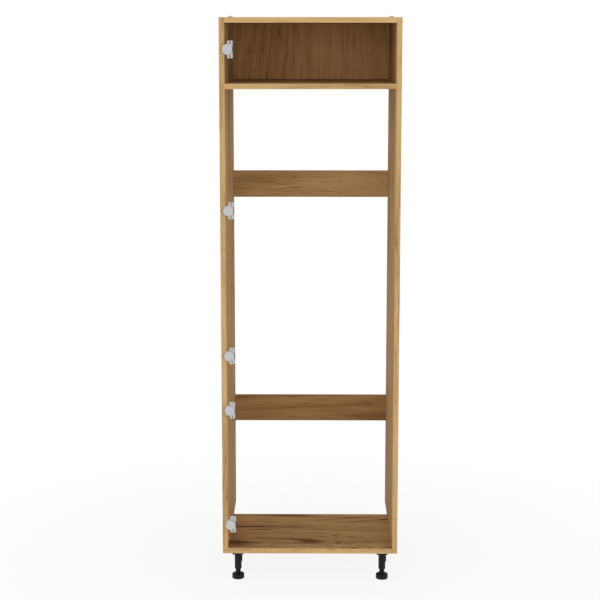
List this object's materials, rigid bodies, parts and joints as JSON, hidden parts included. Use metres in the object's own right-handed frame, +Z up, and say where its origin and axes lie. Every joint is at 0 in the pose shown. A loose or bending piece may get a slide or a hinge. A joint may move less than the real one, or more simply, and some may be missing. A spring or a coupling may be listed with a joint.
{
  "type": "fridge housing unit",
  "caption": "Tall open oak-faced carcass for a built-in fridge, on levelling feet, with a closed top compartment, rear rails and concealed cup hinges along one side.",
  "frame": {"origin": "centre of the outer box on the plane that the four feet stand on", "axes": "+Z up, -Y out of the open front, +X to the right seen from the front, so the hinges are at -X"},
  "size_m": [0.6, 0.583, 1.935],
  "materials": {
    "oak_board": "satin oak decor on board",
    "oak_dark": "satin oak decor on thin fibreboard",
    "oak_edging": "satin oak edging",
    "beech": "raw",
    "hinge_nickel": "nickel-plated, matt",
    "link_steel": "nickel-plated",
    "screw_zinc": "zinc-plated",
    "nail_steel": "bright",
    "black_plastic": "fine-grained",
    "brown_metal": "satin wood-brown paint"
  },
  "bodies": {
    "carcass": {"side_left": "oak_board", "side_right": "oak_board", "top_panel": "oak_board", "fixed_shelf": "oak_board", "bottom_panel": "oak_board", "back_panel": "oak_dark", "rail_upper": "oak_board", "rail_lower": "oak_board", "edging_side_left": "oak_edging", "edging_side_right": "oak_edging", "edging_top": "oak_edging", "edging_shelf": "oak_edging", "edging_bottom": "oak_edging", "carcass_screws_left": "screw_zinc", "carcass_screws_right": "screw_zinc", "carcass_screws_bottom": "screw_zinc", "dowels_left": "beech", "dowels_right": "beech", "dowels_bottom": "beech", "back_nails": "nail_steel", "wall_bracket_left": "brown_metal", "wall_bracket_right": "brown_metal", "bracket_screws": "screw_zinc", "leg_sockets": "black_plastic", "leg_tube_front_left": "black_plastic", "leg_tube_front_right": "black_plastic", "leg_tube_rear_left": "black_plastic", "leg_tube_rear_right": "black_plastic", "socket_screws": "screw_zinc", "hinge_plate_1": "hinge_nickel", "hinge_plate_2": "hinge_nickel", "hinge_plate_3": "hinge_nickel", "hinge_plate_4": "hinge_nickel", "hinge_plate_5": "hinge_nickel", "hinge_arm_1": "hinge_nickel", "hinge_arm_2": "hinge_nickel", "hinge_arm_3": "hinge_nickel", "hinge_arm_4": "hinge_nickel", "hinge_arm_5": "hinge_nickel", "plate_screws": "screw_zinc", "arm_screws": "screw_zinc"},
    "hinge_1_outer_link": {"hinge_outer_link_1": "link_steel"},
    "hinge_1_cup": {"hinge_cup_1": "hinge_nickel"},
    "hinge_1_inner_link": {"hinge_inner_link_1": "link_steel"},
    "hinge_2_outer_link": {"hinge_outer_link_2": "link_steel"},
    "hinge_2_cup": {"hinge_cup_2": "hinge_nickel"},
    "hinge_2_inner_link": {"hinge_inner_link_2": "link_steel"},
    "hinge_3_outer_link": {"hinge_outer_link_3": "link_steel"},
    "hinge_3_cup": {"hinge_cup_3": "hinge_nickel"},
    "hinge_3_inner_link": {"hinge_inner_link_3": "link_steel"},
    "hinge_4_outer_link": {"hinge_outer_link_4": "link_steel"},
    "hinge_4_cup": {"hinge_cup_4": "hinge_nickel"},
    "hinge_4_inner_link": {"hinge_inner_link_4": "link_steel"},
    "hinge_5_outer_link": {"hinge_outer_link_5": "link_steel"},
    "hinge_5_cup": {"hinge_cup_5": "hinge_nickel"},
    "hinge_5_inner_link": {"hinge_inner_link_5": "link_steel"},
    "foot_front_left": {"leg_foot_front_left": "black_plastic"},
    "foot_front_right": {"leg_foot_front_right": "black_plastic"},
    "foot_rear_left": {"leg_foot_rear_left": "black_plastic"},
    "foot_rear_right": {"leg_foot_rear_right": "black_plastic"}
  },
  "joints": [
    {"name": "hinge_1_swing", "type": "hinge", "parent": "carcass", "child": "hinge_1_outer_link", "pos_m": [-0.2611, -0.2729, 0.209], "axis": [0, 0, 1], "range_deg": [0, 37.85]},
    {"name": "hinge_1_cup_turn", "type": "hinge", "parent": "hinge_1_outer_link", "child": "hinge_1_cup", "pos_m": [-0.2844, -0.2819, 0.209], "axis": [0, 0, 1], "range_deg": [-128, 0]},
    {"name": "hinge_1_inner_turn", "type": "hinge", "parent": "hinge_1_cup", "child": "hinge_1_inner_link", "pos_m": [-0.2837, -0.287, 0.209], "axis": [0, 0, 1], "range_deg": [0, 114]},
    {"name": "hinge_2_swing", "type": "hinge", "parent": "carcass", "child": "hinge_2_outer_link", "pos_m": [-0.2611, -0.2729, 0.611], "axis": [0, 0, 1], "range_deg": [0, 37.85]},
    {"name": "hinge_2_cup_turn", "type": "hinge", "parent": "hinge_2_outer_link", "child": "hinge_2_cup", "pos_m": [-0.2844, -0.2819, 0.611], "axis": [0, 0, 1], "range_deg": [-128, 0]},
    {"name": "hinge_2_inner_turn", "type": "hinge", "parent": "hinge_2_cup", "child": "hinge_2_inner_link", "pos_m": [-0.2837, -0.287, 0.611], "axis": [0, 0, 1], "range_deg": [0, 114]},
    {"name": "hinge_3_swing", "type": "hinge", "parent": "carcass", "child": "hinge_3_outer_link", "pos_m": [-0.2611, -0.2729, 0.799], "axis": [0, 0, 1], "range_deg": [0, 37.85]},
    {"name": "hinge_3_cup_turn", "type": "hinge", "parent": "hinge_3_outer_link", "child": "hinge_3_cup", "pos_m": [-0.2844, -0.2819, 0.799], "axis": [0, 0, 1], "range_deg": [-128, 0]},
    {"name": "hinge_3_inner_turn", "type": "hinge", "parent": "hinge_3_cup", "child": "hinge_3_inner_link", "pos_m": [-0.2837, -0.287, 0.799], "axis": [0, 0, 1], "range_deg": [0, 114]},
    {"name": "hinge_4_swing", "type": "hinge", "parent": "carcass", "child": "hinge_4_outer_link", "pos_m": [-0.2611, -0.2729, 1.291], "axis": [0, 0, 1], "range_deg": [0, 37.85]},
    {"name": "hinge_4_cup_turn", "type": "hinge", "parent": "hinge_4_outer_link", "child": "hinge_4_cup", "pos_m": [-0.2844, -0.2819, 1.291], "axis": [0, 0, 1], "range_deg": [-128, 0]},
    {"name": "hinge_4_inner_turn", "type": "hinge", "parent": "hinge_4_cup", "child": "hinge_4_inner_link", "pos_m": [-0.2837, -0.287, 1.291], "axis": [0, 0, 1], "range_deg": [0, 114]},
    {"name": "hinge_5_swing", "type": "hinge", "parent": "carcass", "child": "hinge_5_outer_link", "pos_m": [-0.2611, -0.2729, 1.821], "axis": [0, 0, 1], "range_deg": [0, 37.85]},
    {"name": "hinge_5_cup_turn", "type": "hinge", "parent": "hinge_5_outer_link", "child": "hinge_5_cup", "pos_m": [-0.2844, -0.2819, 1.821], "axis": [0, 0, 1], "range_deg": [-128, 0]},
    {"name": "hinge_5_inner_turn", "type": "hinge", "parent": "hinge_5_cup", "child": "hinge_5_inner_link", "pos_m": [-0.2837, -0.287, 1.821], "axis": [0, 0, 1], "range_deg": [0, 114]},
    {"name": "foot_front_left_level", "type": "slide", "parent": "carcass", "child": "foot_front_left", "axis": [0, 0, 1], "range_m": [0, 0.013]},
    {"name": "foot_front_right_level", "type": "slide", "parent": "carcass", "child": "foot_front_right", "axis": [0, 0, 1], "range_m": [0, 0.013]},
    {"name": "foot_rear_left_level", "type": "slide", "parent": "carcass", "child": "foot_rear_left", "axis": [0, 0, 1], "range_m": [0, 0.013]},
    {"name": "foot_rear_right_level", "type": "slide", "parent": "carcass", "child": "foot_rear_right", "axis": [0, 0, 1], "range_m": [0, 0.013]}
  ],
  "couplings": [
    {"joint": "hinge_1_cup_turn", "follows": "hinge_1_swing", "ratio": -3.3778},
    {"joint": "hinge_1_inner_turn", "follows": "hinge_1_swing", "ratio": 3.0106},
    {"joint": "hinge_2_cup_turn", "follows": "hinge_2_swing", "ratio": -3.3778},
    {"joint": "hinge_2_inner_turn", "follows": "hinge_2_swing", "ratio": 3.0106},
    {"joint": "hinge_3_cup_turn", "follows": "hinge_3_swing", "ratio": -3.3778},
    {"joint": "hinge_3_inner_turn", "follows": "hinge_3_swing", "ratio": 3.0106},
    {"joint": "hinge_4_cup_turn", "follows": "hinge_4_swing", "ratio": -3.3778},
    {"joint": "hinge_4_inner_turn", "follows": "hinge_4_swing", "ratio": 3.0106},
    {"joint": "hinge_5_cup_turn", "follows": "hinge_5_swing", "ratio": -3.3778},
    {"joint": "hinge_5_inner_turn", "follows": "hinge_5_swing", "ratio": 3.0106}
  ]
}
